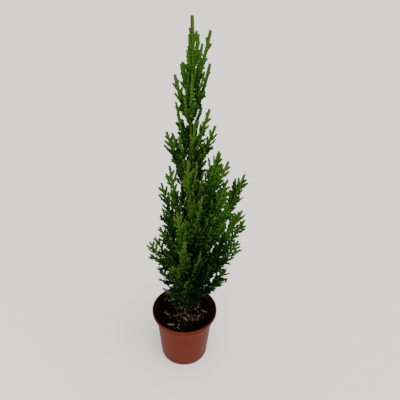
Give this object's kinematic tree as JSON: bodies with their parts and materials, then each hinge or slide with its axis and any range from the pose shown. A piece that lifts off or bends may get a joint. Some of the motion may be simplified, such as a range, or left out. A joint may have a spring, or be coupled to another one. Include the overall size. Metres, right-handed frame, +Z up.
{
  "type": "potted lawson cypress",
  "caption": "Young Lawson cypress in a small round plastic nursery pot: slim upright trunk, upswept limbs, and flat fern-like green sprays that lean out furthest on one side.",
  "frame": {"origin": "middle of the pot's flat underside, on the surface that the pot stands on", "axes": "+Z up the trunk, +X to the right of a viewer who looks along +Y, towards the limb that leans out furthest"},
  "size_m": [0.1346, 0.0992, 0.463],
  "materials": {
    "terracotta_plastic": "satin",
    "damp_compost": "matte",
    "bark": "matte",
    "foliage": "matte"
  },
  "bodies": {
    "root": {"compost": "damp_compost", "crown_back_spray": "foliage", "crown_front_spray": "foliage", "crown_left_1_spray": "foliage", "crown_left_2_spray": "foliage", "crown_right_1_spray": "foliage", "crown_right_2_spray": "foliage", "leader_right_spray": "foliage", "leader_spray": "foliage", "lower_back_1_spray": "foliage", "lower_back_2_spray": "foliage", "lower_back_3_spray": "foliage", "lower_back_4_spray": "foliage", "lower_front_1_spray": "foliage", "lower_front_2_spray": "foliage", "lower_front_3_spray": "foliage", "lower_front_4_spray": "foliage", "lower_front_5_spray": "foliage", "lower_left_1_bough": "bark", "lower_left_1_spray": "foliage", "lower_left_2_spray": "foliage", "lower_left_3_spray": "foliage", "lower_left_4_spray": "foliage", "lower_left_5_spray": "foliage", "lower_right_1_bough": "bark", "lower_right_1_spray": "foliage", "lower_right_2_spray": "foliage", "lower_right_3_spray": "foliage", "lower_right_4_spray": "foliage", "middle_back_1_spray": "foliage", "middle_back_2_spray": "foliage", "middle_back_3_bough": "bark", "middle_back_3_spray": "foliage", "middle_back_4_spray": "foliage", "middle_front_1_spray": "foliage", "middle_front_2_bough": "bark", "middle_front_2_spray": "foliage", "middle_front_3_spray": "foliage", "middle_left_1_spray": "foliage", "middle_left_2_spray": "foliage", "middle_left_3_spray": "foliage", "middle_left_4_spray": "foliage", "middle_right_1_bough": "bark", "middle_right_1_spray": "foliage", "middle_right_2_bough": "bark", "middle_right_2_spray": "foliage", "middle_right_3_bough": "bark", "middle_right_3_spray": "foliage", "middle_right_4_bough": "bark", "middle_right_4_spray": "foliage", "pot": "terracotta_plastic", "trunk": "bark", "upper_back_spray": "foliage", "upper_front_spray": "foliage", "upper_left_1_spray": "foliage", "upper_left_2_spray": "foliage", "upper_left_3_spray": "foliage", "upper_right_1_spray": "foliage", "upper_right_2_spray": "foliage"}
  },
  "joints": []
}
